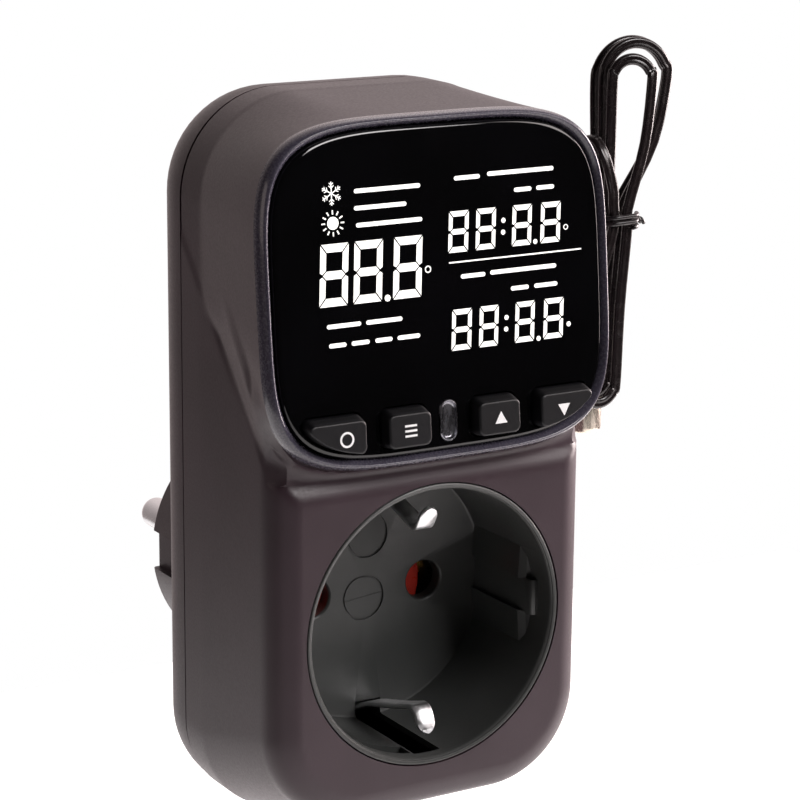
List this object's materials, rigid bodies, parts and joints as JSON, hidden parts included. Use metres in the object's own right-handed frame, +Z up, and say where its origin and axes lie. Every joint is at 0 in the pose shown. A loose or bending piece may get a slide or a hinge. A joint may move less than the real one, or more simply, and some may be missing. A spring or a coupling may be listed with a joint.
{
  "type": "plug in temperature controller",
  "caption": "Wall plug temperature controller with a switched pass-through socket, a tilted display with keys, and a temperature probe on a thin lead tied in a hank.",
  "frame": {"origin": "centre of the plug's end face, midway between the two pins", "axes": "+Z up, -Y towards the display and the socket opening, +Y along the plug pins into the wall, +X to the right as seen from the front"},
  "size_m": [0.0756, 0.077, 0.1121],
  "materials": {
    "case_plastic": "satin, fine moulded texture",
    "bezel_plastic": "satin metallic tint",
    "window_acrylic": "polished",
    "lcd_glass": "polished",
    "light_guide": "smooth",
    "strip_rubber": "matt",
    "lens_acrylic": "polished",
    "led_epoxy": "smooth",
    "key_plastic": "satin",
    "plunger_plastic": "smooth",
    "switch_plastic": "matt",
    "board_laminate": "solder resist",
    "chip_epoxy": "matt moulded",
    "screw_steel": "zinc plated",
    "relay_plastic": "smooth",
    "capacitor_box": "smooth",
    "capacitor_sleeve": "shrink sleeve",
    "fuse_plastic": "smooth",
    "varistor_lacquer": "dipped",
    "header_plastic": "smooth",
    "well_plastic": "satin, fine moulded texture",
    "shutter_plastic": "smooth",
    "plate_plastic": "smooth",
    "carrier_plastic": "smooth",
    "contact_brass": "stamped",
    "earth_nickel": "nickel plated",
    "pin_nickel": "nickel plated",
    "wire_insulation": "smooth",
    "lead_vinyl": "glossy",
    "tie_vinyl": "satin",
    "probe_steel": "polished stainless"
  },
  "bodies": {
    "housing": {"front_shell": "case_plastic", "rear_cover": "case_plastic", "display_bezel": "bezel_plastic", "display_window": "window_acrylic", "lcd_panel": "lcd_glass", "lcd_backlight": "light_guide", "lcd_connector": "strip_rubber", "indicator_lens": "lens_acrylic", "indicator_led": "led_epoxy", "tact_switches": "switch_plastic", "control_board": "board_laminate", "control_chip": "chip_epoxy", "control_screws": "screw_steel", "power_board": "board_laminate", "relay": "relay_plastic", "mains_capacitor": "capacitor_box", "smoothing_capacitor": "capacitor_sleeve", "fuse": "fuse_plastic", "varistor": "varistor_lacquer", "board_link": "header_plastic", "power_screws": "screw_steel", "socket_well": "well_plastic", "shutter_spring": "screw_steel", "shutter_plate": "plate_plastic", "contact_block": "carrier_plastic", "contact_screws": "screw_steel", "line_contact": "contact_brass", "neutral_contact": "contact_brass", "earth_strap": "earth_nickel", "plug_earth_contacts": "earth_nickel", "plug_pins": "pin_nickel", "pin_retainer": "carrier_plastic", "retainer_screws": "screw_steel", "neutral_link": "contact_brass", "line_wire": "wire_insulation", "switched_wire": "wire_insulation", "well_screws": "screw_steel", "case_screws": "screw_steel", "lead_grommet": "lead_vinyl", "sensor_lead": "lead_vinyl", "lead_hank": "lead_vinyl", "probe_lead": "lead_vinyl", "hank_tie": "tie_vinyl", "probe_sleeve": "lead_vinyl", "probe_cap": "probe_steel"},
    "set_button": {"set_key": "key_plastic", "set_plunger": "plunger_plastic"},
    "function_button": {"function_key": "key_plastic", "function_plunger": "plunger_plastic"},
    "up_button": {"up_key": "key_plastic", "up_plunger": "plunger_plastic"},
    "down_button": {"down_key": "key_plastic", "down_plunger": "plunger_plastic"},
    "shutter_disc": {"shutter": "shutter_plastic"}
  },
  "joints": [
    {"name": "set_press", "type": "slide", "parent": "housing", "child": "set_button", "axis": [0, 0.9951, -0.0993], "range_m": [0, 0.0005], "stiffness_N_per_m": 600},
    {"name": "function_press", "type": "slide", "parent": "housing", "child": "function_button", "axis": [0, 0.9951, -0.0993], "range_m": [0, 0.0005], "stiffness_N_per_m": 600},
    {"name": "up_press", "type": "slide", "parent": "housing", "child": "up_button", "axis": [0, 0.9951, -0.0993], "range_m": [0, 0.0005], "stiffness_N_per_m": 600},
    {"name": "down_press", "type": "slide", "parent": "housing", "child": "down_button", "axis": [0, 0.9951, -0.0993], "range_m": [0, 0.0005], "stiffness_N_per_m": 600},
    {"name": "shutter_turn", "type": "hinge", "parent": "housing", "child": "shutter_disc", "pos_m": [0, -0.03085, 0], "axis": [0, 1, 0], "range_deg": [0, 42], "stiffness_Nm_per_rad": 0.002}
  ]
}
